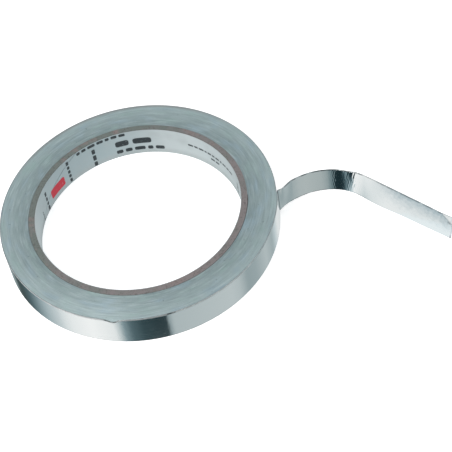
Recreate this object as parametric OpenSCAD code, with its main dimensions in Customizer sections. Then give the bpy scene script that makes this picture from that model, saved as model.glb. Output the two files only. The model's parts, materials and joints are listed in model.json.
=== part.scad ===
// Roll of foil tape on a paper core, lying flat with its axis upright.
// The tape is one strip of three layers, foil over adhesive over release liner, wound with the foil
// outside. Its last turn lifts off the roll at a sharp fold and curls out into a tail that stands on
// its edge.

/* [Roll] */
// Width of the tape, and of the core that is cut with it
tape_w = 12.7; // [5:0.1:25]
// Number of turns of tape on the core
turn_count = 57; // [10:1:150]

/* [Core] */
// Diameter of the bore, which slips over a hub
bore_d = 76.2; // [72:0.1:78]
// Thickness of the printed paper that lines the bore
bore_liner_t = 0.2; // [0.1:0.01:0.4]
// Number of chipboard plies in the wall
ply_count = 4; // [2:1:6]
// Thickness of one chipboard ply
ply_t = 0.54; // [0.3:0.01:0.8]
// Glue line between neighbouring layers of the core, and under the first turn of tape
glue_t = 0.02; // [0.01:0.01:0.05]
// Lean of the spiral seams from the axis, in degrees
seam_lean = 68; // [30:1:70]
// Gap between the two edges that meet at a seam
seam_gap = 0.25; // [0.1:0.05:0.6]
// Place of the bore liner's seam round the core at half the width, in degrees
seam_at = 141; // [0:1:360]
// Step from one layer's seam to the next layer's, in degrees
seam_step = 195; // [0:1:360]

/* [Tape] */
// Thickness of the foil
foil_t = 0.04; // [0.03:0.005:0.1]
// Thickness of the adhesive coat
adhesive_t = 0.03; // [0.02:0.005:0.08]
// Thickness of the release liner
release_liner_t = 0.12; // [0.05:0.01:0.2]

/* [Tail] */
// Place round the roll where the last turn lifts off, in degrees
peel_at = -10.8; // [-180:0.1:180]
// Turn of the fold at the lift-off, in degrees
fold_turn = 38.6; // [10:0.1:80]
// Radius of the foil inside the fold
fold_r = 0.5; // [0.4:0.1:2]
// Clearance between the fold and the turn under it
fold_lift = 0.15; // [0.1:0.05:0.5]
// Clearance between the end of the last turn and the fold
fold_gap = 0.6; // [0.5:0.05:1.5]
// Radius of the foil in the curl after the fold
curl_r = 22.2; // [15:0.1:40]
// Turn of the curl, in degrees
curl_turn = 91; // [30:1:120]
// Length of the straight run after the curl, along its lower edge
run_l = 37; // [5:0.1:100]
// Lean of the cut end from upright, outwards at the top, in degrees
end_lean = 5.4; // [0:0.1:20]

/* [Hidden] */
$fn = 144;

// Angle that one flat of a curved line takes at most
FLAT = 2.5;
// How far a cutter runs past the faces that it cuts
OVERSHOOT = 1;

FOIL_COLOR = [0.80, 0.83, 0.84];
ADHESIVE_COLOR = [0.88, 0.87, 0.80];
RELEASE_LINER_COLOR = [0.90, 0.90, 0.87];
WOUND_COLOR = [0.56, 0.63, 0.65];
CHIPBOARD_COLOR = [0.47, 0.46, 0.43];
BORE_LINER_COLOR = [0.90, 0.91, 0.90];

tape_t = foil_t + adhesive_t + release_liner_t;
core_r = layer_r(ply_count) + ply_t;
wound_r = core_r + glue_t;
roll_r = wound_r + turn_count * tape_t;

// Depths of the tape's layers below the outside of the foil
adhesive_depth = foil_t;
release_liner_depth = foil_t + adhesive_t;

// How far round the roll the last turn stays down, and the angles at which it is drawn
turn_end = 360 - fold_gap / roll_r * 180 / PI;
turn_angles = flats(turn_end);

// The fold bends about an upright axis that stands just outside the roll. The tail is drawn about
// that axis with the fold's end on X, where the curl takes over about a centre on the same line.
fold_axis = polar(roll_r + fold_lift + fold_r, peel_at);
fold_end = peel_at + 180 - fold_turn;
curl_centre = [fold_r - curl_r, 0];
run_dir = -[sin(curl_turn), cos(curl_turn)];
run_start = curl_centre + polar(curl_r, -curl_turn);
// How far the run is drawn past its lower end, for the slanted cut
end_reach = tape_w * tan(end_lean) + OVERSHOOT;

function ply_name(ply) = str("core_ply_", ply);

function polar(r, angle) = r * [cos(angle), sin(angle)];

function reversed(points) = [for (i = [len(points) - 1 : -1 : 0]) points[i]];

// Angles from 0 to a turn in equal flats
function flats(turn) = let (count = ceil(turn / FLAT)) [for (i = [0:count]) turn * i / count];

// Inside radius of a layer of the core, with the bore liner as layer 0
function layer_r(layer) =
    bore_d / 2 + (layer == 0 ? 0 : bore_liner_t + glue_t + (layer - 1) * (ply_t + glue_t));

// Outside radius of the last turn, which climbs one tape thickness in a full turn
function turn_r(angle) = roll_r - tape_t * (1 - angle / 360);

// Line along the last turn at a depth below its outside
function turn_line(depth) = [for (a = turn_angles) polar(turn_r(a) - depth, peel_at + a)];

// Line along the tail, from the end of the fold through the curl to past the end of the run
function tail_line(depth) = [
    for (a = flats(curl_turn)) curl_centre + polar(curl_r + depth, -a),
    curl_centre + polar(curl_r + depth, -curl_turn) + (run_l + end_reach) * run_dir
];

// Least gap of the last turn to itself, between points that lie at least half a turn apart
turn_faces = [turn_line(0), turn_line(tape_t)];
half_turn = floor(len(turn_angles) / 2);
turn_gap = min([
    for (near = turn_faces, far = turn_faces)
        for (i = [0 : half_turn - 1], j = [i + half_turn : len(turn_angles) - 1])
            norm(near[i] - far[j])
]);
echo(least_gap_of_the_last_turn_to_itself = turn_gap);

// Tape's width of a wall, bent round the upright axis through a turn that starts on X
module bent_wall(r, t, turn) {
    rotate_extrude(angle = turn, start = 0)
        translate([r, 0])
            square([t, tape_w]);
}

// Slanted gap where the edges of one spirally wound layer meet, drawn at half a turn
module seam() {
    translate([-core_r / 2, 0, tape_w / 2])
        rotate([-seam_lean, 0, 0])
            cube([core_r, seam_gap, 2 * tape_w / cos(seam_lean)], center = true);
}

// One spirally wound layer of the core, turned to the place of its seam
module core_layer(layer, t) {
    rotate([0, 0, seam_at + layer * seam_step - 180])
        difference() {
            bent_wall(layer_r(layer), t, 360);
            seam();
        }
}

// Tape's width of a layer that runs between two lines
module strip(outside, inside) {
    linear_extrude(tape_w)
        polygon(concat(outside, reversed(inside)));
}

// One layer of the last turn on the roll
module outer_turn_layer(depth, t) {
    strip(turn_line(depth), turn_line(depth + t));
}

// What the slanted cut takes off the end of the tail
module end_cut() {
    translate(run_start + run_l * run_dir)
        rotate([end_lean, 0, -curl_turn])
            translate([-OVERSHOOT, -end_reach - OVERSHOOT, -OVERSHOOT])
                cube([tape_t + 2 * OVERSHOOT, end_reach + OVERSHOOT, 2 * (tape_w + OVERSHOOT)]);
}

// One layer of the tail, through the fold, the curl and the straight run
module tail_layer(depth, t) {
    translate(fold_axis)
        rotate([0, 0, fold_end]) {
            bent_wall(fold_r + depth, t, fold_turn);
            difference() {
                strip(tail_line(depth), tail_line(depth + t));
                end_cut();
            }
        }
}

module bore_liner() {
    color(BORE_LINER_COLOR)
        core_layer(0, bore_liner_t);
}

module core_ply(ply) {
    color(CHIPBOARD_COLOR)
        core_layer(ply, ply_t);
}

// All turns under the last one as one body, with the step that the last turn starts from
module wound_tape() {
    color(WOUND_COLOR)
        difference() {
            linear_extrude(tape_w)
                polygon([each turn_line(tape_t), polar(roll_r - tape_t, peel_at)]);
            translate([0, 0, -OVERSHOOT])
                cylinder(h = tape_w + 2 * OVERSHOOT, r = wound_r);
        }
}

module outer_turn_release_liner() {
    color(RELEASE_LINER_COLOR)
        outer_turn_layer(release_liner_depth, release_liner_t);
}

module outer_turn_adhesive() {
    color(ADHESIVE_COLOR)
        outer_turn_layer(adhesive_depth, adhesive_t);
}

module outer_turn_foil() {
    color(FOIL_COLOR)
        outer_turn_layer(0, foil_t);
}

module tail_release_liner() {
    color(RELEASE_LINER_COLOR)
        tail_layer(release_liner_depth, release_liner_t);
}

module tail_adhesive() {
    color(ADHESIVE_COLOR)
        tail_layer(adhesive_depth, adhesive_t);
}

module tail_foil() {
    color(FOIL_COLOR)
        tail_layer(0, foil_t);
}

bore_liner();
for (ply = [1:ply_count])
    core_ply(ply);
wound_tape();
outer_turn_release_liner();
outer_turn_adhesive();
outer_turn_foil();
tail_release_liner();
tail_adhesive();
tail_foil();
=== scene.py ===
import json
import math

import bmesh
import bpy
import numpy as np
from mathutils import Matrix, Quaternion, Vector


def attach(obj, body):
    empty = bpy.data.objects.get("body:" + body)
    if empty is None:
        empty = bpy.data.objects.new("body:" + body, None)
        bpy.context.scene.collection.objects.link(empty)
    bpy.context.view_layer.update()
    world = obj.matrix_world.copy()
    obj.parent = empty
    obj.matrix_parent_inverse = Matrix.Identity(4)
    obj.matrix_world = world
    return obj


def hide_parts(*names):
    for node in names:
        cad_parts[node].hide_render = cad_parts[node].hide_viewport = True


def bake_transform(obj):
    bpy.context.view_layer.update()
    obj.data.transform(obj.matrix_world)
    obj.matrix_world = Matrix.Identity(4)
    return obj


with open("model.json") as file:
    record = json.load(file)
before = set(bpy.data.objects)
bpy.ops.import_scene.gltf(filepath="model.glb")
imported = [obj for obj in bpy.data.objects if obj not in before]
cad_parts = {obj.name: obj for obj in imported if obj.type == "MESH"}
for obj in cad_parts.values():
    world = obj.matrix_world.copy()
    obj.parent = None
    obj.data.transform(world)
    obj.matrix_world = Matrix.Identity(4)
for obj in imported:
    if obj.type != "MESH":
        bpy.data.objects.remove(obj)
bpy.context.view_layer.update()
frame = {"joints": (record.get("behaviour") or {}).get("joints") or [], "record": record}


# Bore liner
# A strip of white coated paper, the first ply laid on the mandrel when the core is wound.
# Its edges meet in one slanting seam, and the knife that cuts the core leaves its rims uneven.
bore_size = next(m["dims"] for m in frame["record"]["mounts"] if m["name"] == "core_bore")
bore_radius = bore_size["r_mm"] / 1000
tape_width = bore_size["length_mm"] / 1000
bore_liner_thickness = 0.0002
bore_liner_drop = 0.00012
bore_liner_fuzz = 0.00003
seam_lean = math.radians(68)
seam_gap = 0.00025
seam_place = math.radians(141)
seam_step = math.radians(195)
seam_reach = 1.6
ply_flats = 288
ply_corner = 0.28
ply_swell = 0.3
sharp_corner = math.radians(35)
bore_liner_white = (0.475, 0.535, 0.545, 1)
bore_liner_stain_and_shade = (0.385, 0.435, 0.44, 1)
# Darker grey for the painted shade along one side of the bore.
bore_liner_shade = (0.355, 0.438, 0.458, 1)
shade_side = (-0.469, 0.883, 0)
shade_from = bore_radius * 0.60
shade_full = bore_radius * 0.96
# Reach of the painted shade at the foot of the bore's wall, next to the floor.
foot_shade_from = 0.0034
foot_shade_full = 0.0010


def waves(angle, chance, fewest, most, count=7):
    """Random height round a circle, within -1 and 1, with fewest to most crests in a turn."""
    crests = chance.integers(fewest, most + 1, count)
    phases = chance.uniform(0, 2 * math.pi, count)
    return np.sin(np.asarray(angle)[..., None] * crests + phases).mean(-1)


def skin(name, sections, places=None):
    """Closed mesh over cross-sections in a row, each a loop whose two halves mirror each other."""
    count, loop = sections.shape[:2]
    here = np.arange(count - 1)[:, None] * loop + np.arange(loop)
    ahead = np.arange(count - 1)[:, None] * loop + np.roll(np.arange(loop), -1)
    sides = np.stack([here, ahead, ahead + loop, here + loop], -1).reshape(-1, 4)
    half = np.arange(loop // 2 - 1)
    cap = np.stack([half, loop - 1 - half, loop - 2 - half, half + 1], -1)
    far_cap = cap[:, ::-1] + (count - 1) * loop
    mesh = bpy.data.meshes.new(name)
    points = sections.reshape(-1, 3)
    mesh.from_pydata(points.tolist(), [], np.concatenate([sides, cap, far_cap]).tolist())
    if places is not None:
        lay = mesh.attributes.new("lay", "FLOAT_VECTOR", "POINT")
        lay.data.foreach_set("vector", np.ascontiguousarray(places, np.float32).ravel())
    faces = bmesh.new()
    faces.from_mesh(mesh)
    bmesh.ops.recalc_face_normals(faces, faces=faces.faces)
    faces.to_mesh(mesh)
    faces.free()
    mesh.polygons.foreach_set("use_smooth", [True] * len(mesh.polygons))
    mesh.set_sharp_from_angle(angle=sharp_corner)
    piece = bpy.data.objects.new(name, mesh)
    bpy.context.scene.collection.objects.link(piece)
    return piece


def rolled_ply(name, inside, thickness, drop, place, fuzz, rows, seed):
    """One ply of the core: a strip rolled once round, butted along a slanting seam."""
    chance = np.random.default_rng(seed)
    round_off = thickness * ply_corner
    rim = tape_width - drop
    wall = np.linspace(round_off, rim - round_off / 2, rows)
    inner = [(0, z) for z in wall]
    outer = [(thickness, z) for z in wall[::-1]]
    top = [(round_off, rim), (thickness - round_off, rim)]
    foot = [(thickness - round_off, 0), (round_off, 0)]
    outline = np.array(foot[1:] + inner + top + outer + foot[:1])
    radius = inside + outline[:, 0]
    height = outline[:, 1]
    gap = seam_gap / math.cos(seam_lean) / inside
    run = np.linspace(gap / 2, 2 * math.pi - gap / 2, ply_flats + 1)[:, None]
    near_seam = 1 - np.clip(np.minimum(run, 2 * math.pi - run) / seam_reach, 0, 1)
    lean = (tape_width / 2 - height) * math.tan(seam_lean) / inside
    angle = place + run + lean * near_seam
    sink = fuzz * (1 + waves(angle, chance, fewest=9, most=90)) * (height > tape_width / 2)
    swell = ply_swell * fuzz * waves(angle, chance, fewest=20, most=120)
    swell = swell * (height > rim - round_off)
    x = (radius + swell) * np.cos(angle)
    y = (radius + swell) * np.sin(angle)
    z = np.broadcast_to(height, x.shape) - sink
    return skin(name, np.stack([x, y, z], -1))


def add_node(tree, kind, sockets=None, **settings):
    """New shader node with its settings, and its sockets set to values or linked to outputs."""
    node = tree.nodes.new("ShaderNode" + kind)
    for setting, value in settings.items():
        setattr(node, setting, value)
    for socket, value in (sockets or {}).items():
        if isinstance(value, bpy.types.NodeSocket):
            tree.links.new(value, node.inputs[socket])
        else:
            node.inputs[socket].default_value = value
    return node


def new_finish(name, **sockets):
    """New material, with the given sockets of its shader set by their names in plain words."""
    finish = bpy.data.materials.new(name)
    finish.use_nodes = True
    shader = finish.node_tree.nodes["Principled BSDF"]
    for socket, value in sockets.items():
        shader.inputs[socket.replace("_", " ").title().replace("Ior", "IOR")].default_value = value
    return finish, finish.node_tree, shader


def noise(tree, spot, scale, detail, roughness=0.5):
    """Random pattern between 0 and 1, whose patches are the smaller the larger its scale is."""
    sockets = {"Vector": spot, "Scale": scale, "Detail": detail, "Roughness": roughness}
    return add_node(tree, "TexNoise", sockets).outputs["Fac"]


def axis_of(tree, spot, axis):
    """One of the three numbers that make up a place."""
    return add_node(tree, "SeparateXYZ", {"Vector": spot}).outputs[axis]


def along_way(tree, spot, way):
    """How far a place lies along a direction."""
    return add_node(tree, "VectorMath", {0: spot, 1: way}, operation="DOT_PRODUCT").outputs["Value"]


def combine(tree, how, first, second=0.0):
    """Two values put together by one of Blender's operations, such as ADD or MAXIMUM."""
    return add_node(tree, "Math", {0: first, 1: second}, operation=how).outputs[0]


def share_of(tree, value, low, high, most=1.0, least=0.0):
    """How far a value lies between two others, from the least up to the most."""
    sockets = {"Value": value, "From Min": low, "From Max": high, "To Min": least, "To Max": most}
    return add_node(tree, "MapRange", sockets).outputs["Result"]


def color_blend(tree, factor, first, second):
    """Colour that goes from the first to the second with a factor."""
    return add_node(
        tree, "Mix", {0: factor, 6: first, 7: second}, data_type="RGBA"
    ).outputs[2]


def bumped(tree, height, strength, distance, under=None):
    """Surface that follows a height up to a distance, over the surface under it if one is given."""
    sockets = {"Height": height, "Strength": strength, "Distance": distance}
    if under is not None:
        sockets["Normal"] = under
    return add_node(tree, "Bump", sockets).outputs["Normal"]


bore_liner = rolled_ply(
    "bore_liner_paper",
    bore_radius,
    bore_liner_thickness,
    bore_liner_drop,
    seam_place,
    fuzz=bore_liner_fuzz,
    rows=25,
    seed=11,
)
finish, tree, shader = new_finish("white_core_paper", roughness=0.46, specular_ior_level=0.35)
spot = add_node(tree, "TexCoord").outputs["Object"]
cloud = noise(tree, spot, scale=110.0, detail=5.0)
fibre = noise(tree, spot, scale=2600.0, detail=3.0)
# Painted shade: the paper turns a darker grey towards one side of the bore.
shaded_side = share_of(tree, along_way(tree, spot, shade_side), shade_from, shade_full)
paper = color_blend(tree, shaded_side, bore_liner_white, bore_liner_shade)
stain_and_shade = share_of(tree, cloud, 0.52, 0.85)
# Painted shade: the paper darkens towards its foot next to the floor, in the same colour as its
# real stains.
painted_shade = share_of(tree, axis_of(tree, spot, "Z"), foot_shade_from, foot_shade_full, most=0.8)
stain_and_shade = combine(tree, "MAXIMUM", stain_and_shade, painted_shade)
tree.links.new(color_blend(tree, stain_and_shade, paper, bore_liner_stain_and_shade), shader.inputs["Base Color"])
tree.links.new(bumped(tree, fibre, strength=0.25, distance=0.00003), shader.inputs["Normal"])
bore_liner.data.materials.append(finish)
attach(bore_liner, "roll")
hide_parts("bore_liner")


# Printed marks
# Plain dashes in black ink and one red bar, printed on the paper before the core is wound.
# They are laid on the bore's wall as films of ink with rounded corners.
ink_film = 0.000012
ink_bleed = 0.01
ink_columns = 9
ink_black = (0.035, 0.045, 0.05, 1)
ink_red = (0.55, 0.022, 0.045, 1)
dash_lengths = (1.0, 2.6)
dash_gap = 0.55
dash_corner = 0.3
block_lengths = (0.8, 2.0)
block_gap = 0.6
block_corner = 0.25

# Rows of dashes by their two end angles, their height and how tall they are, and columns of blocks
# by their angle, their two end heights and how wide they are.
dash_rows = (
    (94, 66, 0.0070, 0.0029),
    (94, 61.5, 0.0029, 0.0018),
    (118, 87, 0.0115, 0.0014),
    (50, 12, 0.0070, 0.0009),
    (34, 26, 0.0047, 0.0009),
)
block_columns = (
    (125.5, 0.0008, 0.0117, 0.0012),
    (107.5, 0.0004, 0.0103, 0.0014),
    (5, 0.0024, 0.0078, 0.0010),
    (148.5, 0.0004, 0.0116, 0.0012),
    (156.5, 0.0005, 0.0055, 0.0006),
)


def ink_patch(middle, height, length, tall, corner):
    """Cross-sections of one rounded film of ink on the bore, about an angle and a height."""
    columns = np.sin(np.linspace(-1, 1, ink_columns) * math.pi / 2)
    along = columns * length / 2
    inset = np.clip(corner - (length / 2 - np.abs(along)), 0, corner)
    half = tall / 2 - corner + np.sqrt(np.maximum(corner**2 - inset**2, 0)) + tall * ink_bleed
    angle = math.radians(middle) - along / bore_radius
    near = bore_radius - ink_film
    deep = bore_radius + ink_film
    corners = []
    for radius, side in ((near, -1), (near, 1), (deep, 1), (deep, -1)):
        corners.append(
            np.stack(
                [radius * np.cos(angle), radius * np.sin(angle), height + side * half], -1
            )
        )
    return np.stack(corners, 1)


def ink_dashes(from_angle, to_angle, height, tall, seed):
    """Row of dashes of uneven length along the bore between two angles."""
    chance = np.random.default_rng(seed)
    step = math.degrees(tall / bore_radius)
    angle = from_angle
    patches = []
    while angle > to_angle + step:
        size = min(chance.uniform(*dash_lengths) * step, angle - to_angle)
        length = math.radians(size) * bore_radius
        patches.append(ink_patch(angle - size / 2, height, length, tall, tall * dash_corner))
        angle -= size + dash_gap * step
    return patches


def ink_blocks(angle, low, high, wide, seed):
    """Column of blocks of uneven height that stand one above the other on the bore."""
    chance = np.random.default_rng(seed)
    height = low
    patches = []
    while height < high - wide:
        size = min(chance.uniform(*block_lengths) * wide, high - height)
        corner = min(wide, size) * block_corner
        patches.append(ink_patch(angle, height + size / 2, wide, size, corner))
        height += size + block_gap * wide
    return patches


def ink_print(name, patches, color):
    """One printed colour of the paper as a piece, from all of its patches."""
    joined = bmesh.new()
    for patch in patches:
        film = skin(name, patch)
        joined.from_mesh(film.data)
        bpy.data.meshes.remove(film.data)
    mesh = bpy.data.meshes.new(name)
    joined.to_mesh(mesh)
    joined.free()
    ink = bpy.data.objects.new(name, mesh)
    bpy.context.scene.collection.objects.link(ink)
    finish, tree, shader = new_finish(name, roughness=0.4, specular_ior_level=0.4)
    spot = add_node(tree, "TexCoord").outputs["Object"]
    wear = noise(tree, spot, scale=1400.0, detail=4.0)
    thin = share_of(tree, wear, 0.6, 0.8, most=0.5)
    tree.links.new(color_blend(tree, thin, color, bore_liner_white), shader.inputs["Base Color"])
    mesh.materials.append(finish)
    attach(ink, "roll")


black_patches = []
for seed, row in enumerate(dash_rows, 1):
    black_patches += ink_dashes(*row, seed)
for seed, column in enumerate(block_columns, len(dash_rows) + 1):
    black_patches += ink_blocks(*column, seed)
red_patch = ink_patch(middle=136.7, height=0.0045, length=0.0088, tall=0.0042, corner=0.0006)
ink_print("printed_dashes", black_patches, ink_black)
ink_print("printed_bar", [red_patch], ink_red)


# Core plies
# Four strips of grey chipboard, wound over the liner at a slant and glued into one stiff wall.
# The cut rim shows their mottled board, with a dark line where the liner is glued on, partly glue
# and partly painted shade of the gap there.
ply_count = 4
ply_thickness = 0.00054
ply_fuzz = 0.00004
glue_line = 0.00002
glue_shade_ring = 0.0004
core_radius = bore_radius + bore_liner_thickness + ply_count * (glue_line + ply_thickness)
board_olive = (0.185, 0.215, 0.202, 1)
board_mauve = (0.258, 0.238, 0.238, 1)
board_dark = (0.090, 0.080, 0.075, 1)
board_rust = (0.280, 0.232, 0.224, 1)
board_tide = (4.0, -4.0, 0)


def seen_flat(tree, spot):
    """Place as it is seen along the roll's axis."""
    return add_node(tree, "VectorMath", {0: spot, 1: (1, 1, 0)}, operation="MULTIPLY").outputs[0]


def reach_of(tree, spot):
    """How far out from the roll's axis a place lies."""
    flat = seen_flat(tree, spot)
    return add_node(tree, "VectorMath", {0: flat}, operation="LENGTH").outputs["Value"]


finish, tree, shader = new_finish("grey_chipboard", roughness=0.88, specular_ior_level=0.2)
spot = add_node(tree, "TexCoord").outputs["Object"]
pulp = noise(tree, spot, scale=130.0, detail=6.0, roughness=0.65)
rusty = noise(tree, spot, scale=190.0, detail=2.0)
fleck = noise(tree, spot, scale=1300.0, detail=4.0, roughness=0.7)
mottled = combine(tree, "ADD", pulp, along_way(tree, spot, board_tide))
board = color_blend(tree, share_of(tree, mottled, 0.36, 0.66), board_olive, board_mauve)
board = color_blend(tree, share_of(tree, rusty, 0.56, 0.72, most=0.9), board, board_rust)
board = color_blend(tree, share_of(tree, fleck, 0.52, 0.72, most=0.7), board, board_dark)
reach = reach_of(tree, spot)
# A dark ring on the board next to the bore: partly glue and partly painted shade.
glue_and_shade = share_of(tree, reach, bore_radius + glue_shade_ring, bore_radius + glue_shade_ring / 2, most=0.75)
tree.links.new(color_blend(tree, glue_and_shade, board, board_dark), shader.inputs["Base Color"])
tree.links.new(bumped(tree, fleck, strength=0.6, distance=0.00008), shader.inputs["Normal"])
for ply in range(1, ply_count + 1):
    inside = core_radius - (ply_count - ply + 1) * ply_thickness - (ply_count - ply) * glue_line
    board_ply = rolled_ply(
        f"board_ply_{ply}",
        inside,
        ply_thickness,
        0,
        seam_place + ply * seam_step,
        fuzz=ply_fuzz,
        rows=9,
        seed=20 + ply,
    )
    board_ply.data.materials.append(finish)
    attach(board_ply, "roll")
    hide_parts(f"core_ply_{ply}")


# Wound tape
# The turns under the last one: one strip of foil, adhesive and paper wound tight in a spiral.
# From the side only its slit edges show, and they wander a little from turn to turn.
turn_count = 57
foil_thickness = 0.00004
adhesive_thickness = 0.00003
release_liner_thickness = 0.00012
tape_thickness = foil_thickness + adhesive_thickness + release_liner_thickness
peel_angle = math.radians(-10.8)
wound_radius = core_radius + glue_line
roll_radius = wound_radius + turn_count * tape_thickness
inner_turns = turn_count - 2
flats_in_turn = 120
band_count = 22
least_sink = 0.00002
most_band_sink = 0.00005
most_turn_sink = 0.00006
wander_drift = 0.9
foot_sink = 0.6
layer_across = np.array([0, 0.55, 0.72, 0.80, 1.0]) * tape_thickness
layer_sink = np.array([0.00003, 0.00001, 0.00004, 0, 0.00002])
edge_inner = (0.280, 0.366, 0.378, 1)
edge_outer = (0.434, 0.545, 0.555, 1)
edge_blue = (0.362, 0.488, 0.550, 1)
edge_green = (0.368, 0.510, 0.490, 1)
edge_dark = (0.20, 0.265, 0.28, 1)
edge_light = (0.56, 0.66, 0.67, 1)
# Colour of the painted shade along the back of the roll's outer rim.
edge_rim_shade = (0.315, 0.355, 0.358, 1)
rim_shade_from = roll_radius - 0.0017
rim_shade_full = roll_radius - 0.0008
back_from = 0.022
back_full = 0.044

chance = np.random.default_rng(5)
turn = np.arange(inner_turns * flats_in_turn + 1) / flats_in_turn
angle = peel_angle + 2 * math.pi * turn
inside = wound_radius + tape_thickness * turn
band_places = np.linspace(0, inner_turns, band_count)
band_sink = np.interp(turn, band_places, chance.uniform(0, most_band_sink, band_count))
turn_places = np.arange(inner_turns + 1)
turn_sink = np.interp(turn, turn_places, chance.uniform(0, most_turn_sink, inner_turns + 1))
wander = 0.5 + 0.5 * waves(angle + wander_drift * turn, chance, fewest=1, most=6)
sink = least_sink + band_sink + turn_sink * wander
depth = sink[:, None] + layer_sink
reach = inside[:, None] + layer_across
flat = [reach * np.cos(angle)[:, None], reach * np.sin(angle)[:, None]]
top = np.stack([*flat, tape_width - depth], -1)
bottom = np.stack([*flat, depth * foot_sink], -1)
wound_tape = skin("wound_turns", np.concatenate([top, bottom[:, ::-1]], 1))


def ring_noise(tree, spot, around, across):
    """Noise drawn out along the turns, by patches round a turn and patches in a metre across."""
    flat = seen_flat(tree, spot)
    way = add_node(tree, "VectorMath", {0: flat}, operation="NORMALIZE").outputs[0]
    spread = add_node(tree, "VectorMath", {0: way, "Scale": around}, operation="SCALE").outputs[0]
    step = combine(tree, "MULTIPLY", reach_of(tree, spot), across)
    lift = add_node(tree, "CombineXYZ", {"Z": step}).outputs[0]
    place = add_node(tree, "VectorMath", {0: spread, 1: lift}, operation="ADD").outputs[0]
    return noise(tree, place, scale=1.0, detail=3.0)


finish, tree, shader = new_finish(
    "slit_edges", metallic=0.25, roughness=0.45, specular_ior_level=0.4
)
spot = add_node(tree, "TexCoord").outputs["Object"]
tint = ring_noise(tree, spot, around=5.0, across=300.0)
broad = ring_noise(tree, spot, around=8.0, across=700.0)
narrow = ring_noise(tree, spot, around=5.0, across=1900.0)
grain = noise(tree, spot, scale=2200.0, detail=3.0)
speck = noise(tree, spot, scale=700.0, detail=1.0)
reach = reach_of(tree, spot)
outward = share_of(tree, reach, wound_radius, roll_radius)
edge = color_blend(tree, outward, edge_inner, edge_outer)
edge = color_blend(tree, share_of(tree, tint, 0.52, 0.72, most=0.7), edge, edge_blue)
edge = color_blend(tree, share_of(tree, tint, 0.48, 0.28, most=0.7), edge, edge_green)
edge = color_blend(tree, share_of(tree, broad, 0.5, 0.75, most=0.25), edge, edge_light)
edge = color_blend(tree, share_of(tree, broad, 0.45, 0.25, most=0.2), edge, edge_dark)
edge = color_blend(tree, share_of(tree, narrow, 0.5, 0.75, most=0.42), edge, edge_dark)
edge = color_blend(tree, share_of(tree, narrow, 0.45, 0.25, most=0.55), edge, edge_light)
edge = color_blend(tree, share_of(tree, grain, 0.5, 0.8, most=0.2), edge, edge_dark)
edge = color_blend(tree, share_of(tree, speck, 0.74, 0.78, most=0.6), edge, edge_dark)
# Painted shade: the outermost turns darken along the back of the roll's rim.
outermost = share_of(tree, reach, rim_shade_from, rim_shade_full, most=0.85)
back = share_of(tree, axis_of(tree, spot, "Y"), back_from, back_full)
painted_shade = combine(tree, "MULTIPLY", outermost, back)
tree.links.new(color_blend(tree, painted_shade, edge, edge_rim_shade), shader.inputs["Base Color"])
tree.links.new(bumped(tree, narrow, strength=0.3, distance=0.00006), shader.inputs["Normal"])
wound_tape.data.materials.append(finish)
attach(wound_tape, "roll")
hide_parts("wound_tape")


# Release liner
# The coated paper strip under the adhesive. It runs through the last turn and the tail unbroken,
# as the two layers over it do, and its smooth white back is what the tail shows from behind.
fold_place = np.array(frame["joints"][0]["pos_m"][:2])
fold_turn = math.radians(38.6)
fold_radius = 0.0005
fold_lift = 0.00015
lift_length = 0.022
curl_radius = 0.0222
curl_turn = math.radians(91)
run_length = 0.037
end_lean = math.radians(5.4)
peel_slant = 0.0014
slant_run = 0.009
pinch = 0.0010
pinch_stops = ((0, 0), (0.0033, 1), (0.0078, 0))
swing_stops = ((-0.0355, 0.5), (-0.0235, 0), (-0.006, 0), (0.010, -0.435))
lean_stops = ((-0.010, 1.0), (0.004, -0.28), (0.020, 0.75), (0.038, 1.20))
run_bow = 0.0006
bow_power = 2.5
bow_run = 0.018
edge_roll = 0.00013
edge_roll_width = 0.00055
top_roll = 0.7
tail_roll = 0.3
tail_roll_run = 0.003
bead_lengths = (0.0012, 0.005)
crook = 0.0016
crook_lengths = (0.004, 0.015)
buckle = 0.00004
buckle_lengths = (0.006, 0.016)
crinkles = ((-0.0112, 0.0014, 0.00008), (-0.0050, 0.0024, 0.00013), (0.0350, 0.0030, 0.00006))
crinkle_lengths = (0.0005, 0.0013)
top_bulge = (-0.0062, 0.0020, 0.00025)
edge_crumple = 0.00028
crumple_from = 0.006
crumple_full = 0.012
facet_lengths = (0.002, 0.006)
facet_lean = 0.8
dog_ear_length = 0.0058
dog_ear_height = 0.0045
dog_ear_wobble = 0.0016
dog_ear_wobble_lengths = (0.0015, 0.005)
dog_ear_soft = 0.0012
dog_ear_bend = math.tan(math.radians(5.5))
rim_dent = (0.2329, 0.0018, 0.0013)
rim_dent_reach = 0.0035
last_turn_flats = 720
fold_bend_flats = 8
curl_bend_flats = 300
run_steps = 150
slit_rows = np.array([0, 0.00008, 0.00018, 0.00030, 0.00045, 0.00065])
liner_white = (0.80, 0.82, 0.80, 1)
liner_shade = (0.66, 0.69, 0.67, 1)
# Colour of the slit edges: partly grime, partly painted shade.
liner_slit_grime_and_shade = (0.14, 0.18, 0.20, 1)
slit_from = tape_width / 2 - 0.00004
slit_full = tape_width / 2 - 0.00001


def toward(angle):
    """Unit vectors on the floor at the given angles."""
    return np.stack([np.cos(angle), np.sin(angle)], -1)


def smooth_step(value, low, high):
    """Even rise from 0 at the low value to 1 at the high one, flat at both ends."""
    share = np.clip((value - low) / (high - low), 0, 1)
    return share * share * (3 - 2 * share)


def glide(value, stops):
    """Level that goes smoothly through the given stops, each a value and a level."""
    level = stops[0][1]
    for (low, start), (high, end) in zip(stops, stops[1:]):
        level = level + (end - start) * smooth_step(value, low, high)
    return level


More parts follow.
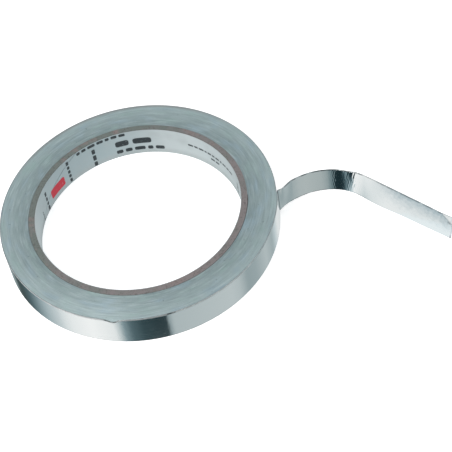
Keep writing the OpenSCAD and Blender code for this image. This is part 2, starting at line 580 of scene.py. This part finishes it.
# The foil's line on the floor, as points and headings: the last turn, the fold, the curl and the
# straight run, whose own points are spread later because its slanted end makes each row's length.
turn_flats = np.linspace(0, 2 * math.pi, last_turn_flats + 1)
left_to_fold = (2 * math.pi - turn_flats) * roll_radius
turn_climb = tape_thickness * (turn_flats / (2 * math.pi) - 1)
turn_lift = fold_lift * np.clip(1 - left_to_fold / lift_length, 0, 1) ** 2
turn_line = (roll_radius + turn_climb + turn_lift)[:, None] * toward(peel_angle + turn_flats)
fold_start = peel_angle + math.pi
fold_flats = fold_start - np.linspace(0, fold_turn, fold_bend_flats + 1)[1:-1]
fold_line = fold_place + fold_radius * toward(fold_flats)
curl_start = fold_start - fold_turn
curl_middle = fold_place - (curl_radius - fold_radius) * toward(curl_start)
curl_flats = curl_start - np.linspace(0, curl_turn, curl_bend_flats + 1)
curl_line = curl_middle + curl_radius * toward(curl_flats)
run_share = np.linspace(0, 1, run_steps + 1)[1:]
run_line = np.repeat(curl_line[-1:], len(run_share), 0)
run_flats = np.repeat(curl_flats[-1:], len(run_share))
line = np.concatenate([turn_line, fold_line, curl_line, run_line])
ahead = np.concatenate(
    [
        toward(peel_angle + turn_flats + math.pi / 2),
        toward(np.concatenate([fold_flats, curl_flats, run_flats]) - math.pi / 2),
    ]
)
aside = np.stack([-ahead[:, 1], ahead[:, 0]], -1)
run_part = np.concatenate([np.zeros(len(line) - len(run_share)), run_share])
travel = np.concatenate([[0], np.cumsum(np.linalg.norm(np.diff(line, axis=0), axis=1))])
tail_start = travel[len(turn_line)]
run_start = travel[-1]
run_end = run_start + run_length


def ripples(along, shortest, longest, seed, count=9):
    """Random height along the strip, within -1 and 1, in waves between two lengths."""
    chance = np.random.default_rng(seed)
    lengths = np.exp(chance.uniform(math.log(shortest), math.log(longest), count))
    phases = chance.uniform(0, 2 * math.pi, count)
    return np.sin(2 * math.pi * along[..., None] / lengths + phases).mean(-1)


def burst(along, place, spread):
    """Bell that stands 1 high at a place along the strip and falls off within a spread."""
    return np.exp(-(((along - place) / spread) ** 2))


def relief(along, height, from_end):
    """How far the strip stands out of its plain line towards the foil's side."""
    share = height / tape_width
    high_up = share**bow_power
    in_tail = smooth_step(along, tail_start, tail_start + tail_roll_run)
    in_run = smooth_step(along, run_start, run_start + bow_run)
    edge = np.minimum(height, tape_width - height)
    near_edge = np.clip(1 - edge / edge_roll_width, 0, 1) ** 2
    beads = 0.75 + 0.5 * ripples(along, *bead_lengths, seed=3)
    on_roll = top_roll * (share > 0.5)
    rise = -edge_roll * near_edge * (on_roll + in_tail * (tail_roll * beads - on_roll))
    rise = rise - run_bow * high_up * in_run
    crooked = along + crook * ripples(height, *crook_lengths, seed=5)
    rise = rise + buckle * in_tail * ripples(crooked, *buckle_lengths, seed=4)
    crinkled = (0.35 + 0.65 * share) * ripples(crooked, *crinkle_lengths, seed=6)
    for place, spread, deep in crinkles:
        rise = rise + deep * burst(along, run_start + place, spread) * crinkled
    crumpled = smooth_step(along, run_start + crumple_from, run_start + crumple_full) * high_up
    facets = ripples(along + facet_lean * height, *facet_lengths, seed=7)
    facets = facets * ripples(along - height, *facet_lengths, seed=8)
    rise = rise + edge_crumple * crumpled * facets
    place, spread, deep = top_bulge
    rise = rise + deep * share**2 * burst(along, run_start + place, spread)
    over = height - tape_width + dog_ear_height * (1 - from_end / dog_ear_length)
    over = over + dog_ear_wobble * ripples(along, *dog_ear_wobble_lengths, seed=9)
    bend = np.clip(over, 0, dog_ear_soft) ** 2 / (2 * dog_ear_soft)
    bend = bend + np.clip(over - dog_ear_soft, 0, None)
    return rise - dog_ear_bend * bend


def slip(along, height):
    """How far a point lies further round the roll because the strip peels along a slanting line."""
    share = height / tape_width
    grip = smooth_step(along, tail_start - slant_run, tail_start)
    lean = glide(along - run_start, lean_stops)
    swing = glide(along - run_start, swing_stops)
    pinched = glide(along - tail_start, pinch_stops)
    return peel_slant * grip * ((0.5 - share) * lean + swing) - pinch * share * pinched


def crushed(along, height):
    """How far a knock has pressed the strip's upper edge down at one spot of the last turn."""
    place, spread, deep = rim_dent
    near_rim = smooth_step(height, tape_width - rim_dent_reach, tape_width)
    return deep * near_rim * burst(along, place, spread)


def row_heights(margin, count):
    """Heights of the points across the strip, close together along both of its slit edges."""
    between = np.linspace(margin, tape_width - margin, count)
    return np.concatenate([slit_rows, between, tape_width - slit_rows[::-1]])


def tape_layer(name, depth, thickness, heights, every):
    """One layer of the tape as a piece that bends at the fold, from every so many of the points."""
    chosen = np.r_[0 : len(line) - 1 : every, len(line) - 1]
    row_length = run_length + heights * math.tan(end_lean)
    grow = run_part[chosen, None] * row_length
    along = travel[chosen, None] + grow
    from_end = run_start + row_length - along
    height = np.broadcast_to(heights, along.shape)
    stands = height - crushed(along, height)
    out = relief(along, height, from_end)
    round_roll = slip(along, height)[..., None] * toward(peel_angle + math.pi / 2)
    base = line[chosen, None] + ahead[chosen, None] * grow[..., None] + round_roll
    skins = []
    places = []
    for level in (depth, depth + thickness):
        flat = base + aside[chosen, None] * (level - out)[..., None]
        skins.append(np.concatenate([flat, stands[..., None]], -1))
        places.append(np.stack([along, height, np.full(along.shape, level)], -1))
    piece = skin(
        name,
        np.concatenate([skins[0], skins[1][:, ::-1]], 1),
        np.concatenate([places[0], places[1][:, ::-1]], 1),
    )
    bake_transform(piece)
    return piece


def away_from(tree, value, middle):
    """How far a value lies from another one, to either side."""
    return combine(tree, "ABSOLUTE", combine(tree, "SUBTRACT", value, middle))


strip_rows = row_heights(margin=0.0014, count=7)
liner_strip = tape_layer(
    "release_liner_strip",
    foil_thickness + adhesive_thickness,
    release_liner_thickness,
    strip_rows,
    every=3,
)
finish, tree, shader = new_finish("coated_paper", roughness=0.35, specular_ior_level=0.45)
spot = add_node(tree, "Attribute", attribute_name="lay").outputs["Vector"]
cloud = noise(tree, spot, scale=160.0, detail=5.0)
fibre = noise(tree, spot, scale=2400.0, detail=3.0)
from_middle = away_from(tree, axis_of(tree, spot, "Y"), tape_width / 2)
# The slit edges are darkened, partly by grime and partly by painted shade along the edges.
slit = share_of(tree, from_middle, slit_from, slit_full)
paper = color_blend(tree, cloud, liner_white, liner_shade)
tree.links.new(color_blend(tree, slit, paper, liner_slit_grime_and_shade), shader.inputs["Base Color"])
tree.links.new(bumped(tree, fibre, strength=0.2, distance=0.00003), shader.inputs["Normal"])
liner_strip.data.materials.append(finish)
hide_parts("outer_turn_release_liner", "tail_release_liner")


# Adhesive
# A clear tacky coat rolled onto the back of the foil, thinner than a hair.
# It shows only as a line between the foil and the paper along the slit edges.
adhesive_clear = (0.32, 0.37, 0.37, 1)
adhesive_dust = (0.18, 0.21, 0.22, 1)
adhesive_strip = tape_layer(
    "adhesive_strip", foil_thickness, adhesive_thickness, strip_rows, every=3
)
finish, tree, shader = new_finish("clear_adhesive", roughness=0.22, specular_ior_level=0.5)
spot = add_node(tree, "Attribute", attribute_name="lay").outputs["Vector"]
dust = noise(tree, spot, scale=900.0, detail=4.0)
grime = share_of(tree, dust, 0.5, 0.8)
tree.links.new(
    color_blend(tree, grime, adhesive_clear, adhesive_dust), shader.inputs["Base Color"]
)
adhesive_strip.data.materials.append(finish)
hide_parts("outer_turn_adhesive", "tail_adhesive")


# Foil
# Thin copper strip, rolled, tin-plated bright and slit to width, wound with its bare face outside.
# It mirrors the studio, with fine rolling lines along it and dents where fingers peeled it.
foil_silver = (0.955, 0.957, 0.94, 1)
# Colour of the painted shade on the run's upper half, a darker bluish reflection.
foil_shade_blue = (0.50, 0.585, 0.615, 1)
# Dark colour of the painted shade lines along the rims and creases, and of the dark line at the cut
# end.
foil_shade_and_marks = (0.09, 0.11, 0.12, 1)
rolling_lines = (60, 5200, 1)
rolling_depth = 0.0000004
dent_depth = 0.000015
rim_nick_shades = ((0.062, 0.005), (0.148, 0.004), (0.2325, 0.0064), (0.2531, 0.0054))
ear_slope = dog_ear_height / dog_ear_length
ear_way = (ear_slope, 1 - ear_slope * math.tan(end_lean), 0)
ear_edge = tape_width - dog_ear_height + ear_slope * run_end
ear_stray = 0.0010
ear_border = 0.0004
ear_crease_widths = (0.00025, 0.0014)
cut_way = (1, -math.tan(end_lean), 0)
cut_line = (run_end - 0.0007, run_end - 0.0003)
cut_corner = (0.0025, 0.0010)
top_rim_band = (tape_width - 0.00062, tape_width - 0.00036)
foot_rim_band = (0.00042, 0.00026)
burr_band = (tape_width - 0.0007, tape_width - 0.0003)
burr_stretch = (tail_start - 0.02, tail_start - 0.04)
peeled_stretch = (tail_start, tail_start + 0.002)
bent_stretch = (run_start + 0.006, run_start - 0.004)
spared_middle = run_start + 0.003
spared_reach = (0.002, 0.0045)
crease_before = (tail_start - 0.0016, tail_start - 0.0004)
crease_after = (tail_start + 0.0006, tail_start + 0.0002)
shade_stray = 0.004
shade_rise = 0.0014
shade_rise_stretch = (run_start + 0.026, run_end)
shade_heights = (0.005, 0.0144)
shade_power = 1.5
shade_stretch = (run_start + 0.003, run_start + 0.015)
dent_stretch = (run_start - 0.014, run_start - 0.008)

foil_rows = row_heights(margin=0.0012, count=14)
foil_strip = tape_layer("foil_strip", 0, foil_thickness, foil_rows, every=1)
finish, tree, shader = new_finish("tin_plated_foil", metallic=1.0)
spot = add_node(tree, "Attribute", attribute_name="lay").outputs["Vector"]
along_foil = axis_of(tree, spot, "X")
height = axis_of(tree, spot, "Y")
rolled = add_node(tree, "Mapping", {"Vector": spot, "Scale": rolling_lines}).outputs["Vector"]
lines = noise(tree, rolled, scale=1.0, detail=4.0)
dent = noise(tree, spot, scale=650.0, detail=3.0)
scuff = noise(tree, spot, scale=420.0, detail=2.0)

# The dog-ear's crease strays a little from a straight line, and the rim above it gets no painted
# shade.
over_ear = combine(tree, "SUBTRACT", along_way(tree, spot, ear_way), ear_edge + ear_stray / 2)
over_ear = combine(tree, "ADD", over_ear, share_of(tree, scuff, 0.3, 0.7, most=ear_stray))
below_ear = share_of(tree, over_ear, ear_border, 0)
top_rim = share_of(tree, height, *top_rim_band)
top_rim = combine(tree, "MULTIPLY", top_rim, below_ear)
foot_rim = share_of(tree, height, *foot_rim_band)

# Both rims get painted shade, dark lines standing in for the shade of the curled slit edges, most
# where the strip was peeled and bent, and a few nicks on the roll get it too.
peeled = share_of(tree, along_foil, *peeled_stretch, least=0.3)
bent = share_of(tree, along_foil, *bent_stretch)
from_flat = away_from(tree, along_foil, spared_middle)
spared = share_of(tree, from_flat, *spared_reach, least=0.35)
top_shade_strength = combine(tree, "MULTIPLY", share_of(tree, bent, 0, 1, most=0.95, least=0.65), spared)
top_rim_shade = combine(tree, "MULTIPLY", top_rim, top_shade_strength)
foot_rim_shade = combine(tree, "MULTIPLY", foot_rim, bent)
rim_shade_lines = combine(tree, "MULTIPLY", combine(tree, "MAXIMUM", top_rim_shade, foot_rim_shade), peeled)
for place, length in rim_nick_shades:
    nick_shade = share_of(tree, away_from(tree, along_foil, place), length / 2, length / 3)
    rim_shade_lines = combine(tree, "MAXIMUM", rim_shade_lines, combine(tree, "MULTIPLY", nick_shade, top_rim))
patchy = share_of(tree, scuff, 0.34, 0.54, most=0.9)
shade_and_marks = combine(tree, "MULTIPLY", rim_shade_lines, patchy)

# Painted shade follows the fold's inner corner and the dog-ear's crease, which widens to the end,
# and a dark line follows the cut end.
# Painted shade in the fold's inner corner, where the tail leaves the roll.
before = share_of(tree, along_foil, *crease_before, most=0.85)
after = share_of(tree, along_foil, *crease_after, most=0.85)
shade_and_marks = combine(tree, "MAXIMUM", shade_and_marks, combine(tree, "MINIMUM", before, after))
# Painted shade along the dog-ear's crease, widening under the folded corner towards the end.
narrowest, widest = ear_crease_widths
crease_width = share_of(tree, along_foil, run_end - dog_ear_length, run_end, widest, narrowest)
off_crease = combine(tree, "DIVIDE", combine(tree, "ABSOLUTE", over_ear), crease_width)
ear_crease_shade = combine(tree, "MULTIPLY", share_of(tree, off_crease, 1.0, 0.2, most=0.5), patchy)
shade_and_marks = combine(tree, "MAXIMUM", shade_and_marks, ear_crease_shade)
at_cut = share_of(tree, along_way(tree, spot, cut_way), *cut_line)
low_down = share_of(tree, height, *cut_corner, most=0.6, least=0.12)
shade_and_marks = combine(tree, "MAXIMUM", shade_and_marks, combine(tree, "MULTIPLY", at_cut, low_down))

# The run's upper half gets painted shade, a darker bluish reflection below the dog-ear, reaching
# further down towards its end.
uneven = share_of(tree, scuff, 0.2, 0.8, most=shade_stray)
at_end = share_of(tree, along_foil, *shade_rise_stretch, most=shade_rise)
shade_height = combine(tree, "ADD", height, combine(tree, "ADD", uneven, at_end))
shaded_high = combine(tree, "POWER", share_of(tree, shade_height, *shade_heights), shade_power)
run_shade = share_of(tree, along_foil, *shade_stretch)
run_shade = combine(tree, "MULTIPLY", run_shade, shaded_high)
run_shade = combine(tree, "MULTIPLY", run_shade, share_of(tree, below_ear, 0, 1, least=0.25))
metal = color_blend(tree, run_shade, foil_silver, foil_shade_blue)
tree.links.new(color_blend(tree, shade_and_marks, metal, foil_shade_and_marks), shader.inputs["Base Color"])

# On the roll a burr from slitting blurs the upper rim. There and in the curl the dents are flatter.
haze = share_of(tree, lines, 0.3, 0.8, most=0.12, least=0.04)
burr = share_of(tree, height, *burr_band, most=0.5)
on_roll = share_of(tree, along_foil, *burr_stretch)
haze = combine(tree, "ADD", haze, combine(tree, "MULTIPLY", burr, on_roll))
tree.links.new(haze, shader.inputs["Roughness"])
pressed = share_of(tree, along_foil, *dent_stretch, least=0.6)
dent = combine(tree, "MULTIPLY", dent, pressed)
drawn = bumped(tree, lines, strength=1.0, distance=rolling_depth)
dented = bumped(tree, dent, strength=1.0, distance=dent_depth, under=drawn)
tree.links.new(dented, shader.inputs["Normal"])
foil_strip.data.materials.append(finish)
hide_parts("outer_turn_foil", "tail_foil")


# Studio
# A plain pale floor under a pale sky, with one soft light on the left. What the bright foil mirrors
# are two rings of panels below the floor's level, one for the roll's wall and one for the tail.
floor_white = (0.93, 0.93, 0.93, 1)
floor_glow = 0.55
floor_half = 3.0
floor_level = -0.00005
sky_color = (0.66, 0.67, 0.68, 1)
sky_from = -0.05
sky_full = 0.25
wall_panels_end = -0.8145
tail_panels_start = -0.8245
panel_red_power = 1.30
panel_green_power = 1.06
wall_panels = (
    (3, 0.43),
    (20, 0.56),
    (34, 0.45),
    (42, 0.66, 0.08),
    (52, 0.83),
    (80, 0.76),
    (105, 0.48),
    (117, 0.28, -0.12),
    (122, 0.093, -0.42),
    (129, 0.092, -0.35),
    (139, 0.15),
    (148, 0.275, 0.05),
    (160, 0.50, 0.08),
    (173, 0.68, 0.05),
    (179.5, 0.815, 0.04),
    (187, 0.90, 0.03),
    (205, 0.985, 0.03),
    (225, 0.89, 0.03),
    (229.5, 0.63, 0.04),
    (233.5, 0.35, 0.10),
    (240, 0.165, 0.06),
    (250, 0.074),
    (264, 0.044),
    (270, 0.049),
    (272.3, 0.37),
    (276, 0.53),
    (300, 0.56),
    (332, 0.60),
    (341, 0.56),
    (351, 0.40),
)
tail_panels = (
    (20, 0.56),
    (34, 0.46),
    (52, 0.80),
    (80, 0.72),
    (105, 0.50),
    (122, 0.12),
    (139, 0.15),
    (152, 0.30),
    (165, 0.85, 0.08),
    (181, 0.91, 0.09),
    (187, 0.90, 0.10),
    (193, 0.81, 0.14),
    (200, 0.52, 0.14),
    (207, 0.22, 0.10),
    (212, 0.11, 0.06),
    (216, 0.044, 0.05),
    (225, 0.030),
    (239.5, 0.036),
    (243, 0.20),
    (250, 0.265),
    (255.5, 0.37, -0.06),
    (266, 0.445, -0.08),
    (302, 0.485, -0.08),
    (314, 0.475, -0.07),
    (322, 0.43, -0.05),
    (334, 0.39, -0.03),
    (346, 0.395, -0.03),
    (356, 0.43, -0.03),
)
climbs = ((-0.84, 1.0), (-0.79, 0.94), (-0.74, 0.96), (-0.60, 0.90), (-0.30, 0.92), (0.0, 1.0))
key_place = (-0.50, -0.27, 0.60)
key_size = 0.5
key_power = 2.6
key_color = (1.0, 0.94, 0.915)

floor_mesh = bpy.data.meshes.new("floor")
corners = ((-1, -1), (1, -1), (1, 1), (-1, 1))
floor_mesh.from_pydata(
    [(x * floor_half, y * floor_half, floor_level) for x, y in corners], [], [(0, 1, 2, 3)]
)
floor = bpy.data.objects.new("floor", floor_mesh)
bpy.context.scene.collection.objects.link(floor)
floor.visible_glossy = False
finish, tree, shader = new_finish(
    "pale_floor",
    base_color=floor_white,
    roughness=0.9,
    specular_ior_level=0.0,
    emission_color=(1, 1, 1, 1),
    emission_strength=floor_glow,
)
floor_mesh.materials.append(finish)

world = bpy.data.worlds.new("studio")
bpy.context.scene.world = world
world.use_nodes = True
tree = world.node_tree
direction = add_node(tree, "TexCoord").outputs["Generated"]
parts = add_node(tree, "SeparateXYZ", {"Vector": direction}).outputs
turned = share_of(tree, combine(tree, "ARCTAN2", parts["Y"], parts["X"]), -math.pi, math.pi)


def ramp(tree, factor, stops):
    """Colour that goes through the given stops, each a place from 0 to 1 and a colour."""
    node = add_node(tree, "ValToRGB", {"Fac": factor})
    elements = node.color_ramp.elements
    elements[0].position, elements[0].color = stops[0]
    elements[1].position, elements[1].color = stops[-1]
    for place, color in stops[1:-1]:
        elements.new(place).color = color
    return node.outputs["Color"]


def panel_color(brightness, chill=0):
    """Cool colour of a panel, the cooler the darker it is, and cooler still with a chill."""
    red = brightness**panel_red_power * (1 - chill)
    green = brightness**panel_green_power * (1 - chill / 3)
    return (red, green, brightness, 1)


def panel_ring(tree, panels):
    """Ring of panels all round, each given by its bearing in degrees, its brightness and chill."""
    stops = sorted((((bearing + 180) % 360) / 360, panel_color(*tone)) for bearing, *tone in panels)
    wrap = (1 - stops[-1][0]) / (stops[0][0] + 1 - stops[-1][0])
    back = [last + (first - last) * wrap for first, last in zip(stops[0][1], stops[-1][1])]
    return ramp(tree, turned, [(0, back), *stops, (1, back)])


deeper = share_of(tree, parts["Z"], wall_panels_end, tail_panels_start)
panels = color_blend(tree, deeper, panel_ring(tree, wall_panels), panel_ring(tree, tail_panels))
lowest, highest = climbs[0][0], climbs[-1][0]
climb = ramp(
    tree,
    share_of(tree, parts["Z"], lowest, highest),
    [((z - lowest) / (highest - lowest), (level, level, level, 1)) for z, level in climbs],
)
mirrored = add_node(tree, "VectorMath", {0: panels, 1: climb}, operation="MULTIPLY").outputs[0]
above = share_of(tree, parts["Z"], sky_from, sky_full)
tree.links.new(
    color_blend(tree, above, mirrored, sky_color), tree.nodes["Background"].inputs["Color"]
)

key = bpy.data.lights.new("key", "AREA")
key.shape = "DISK"
key.size = key_size
key.energy = key_power
key.color = key_color
key_light = bpy.data.objects.new("key", key)
key_light.location = key_place
key_light.rotation_mode = "QUATERNION"
key_light.rotation_quaternion = (-key_light.location).to_track_quat("-Z", "Y")
bpy.context.scene.collection.objects.link(key_light)


# Camera
# It stands in front of the roll, about 40 cm up, and looks down on it with a long lens.
# It is turned about its line of sight, because the roll lies aslant in the picture.
camera_place = Vector((0.0007, -0.3403, 0.3977))
camera_aim = Vector((0.02993, -0.00906, 0))
camera_roll = Quaternion((0, 0, 1), math.radians(-10.26))
lens_length = 111.5
sensor_width = 36

lens = bpy.data.cameras.new("camera")
lens.lens = lens_length
lens.sensor_width = sensor_width
camera = bpy.data.objects.new("camera", lens)
camera.location = camera_place
camera.rotation_mode = "QUATERNION"
camera.rotation_quaternion = (camera_aim - camera_place).to_track_quat("-Z", "Y") @ camera_roll
bpy.context.scene.collection.objects.link(camera)
bpy.context.scene.camera = camera
bpy.context.scene.view_settings.view_transform = "Standard"
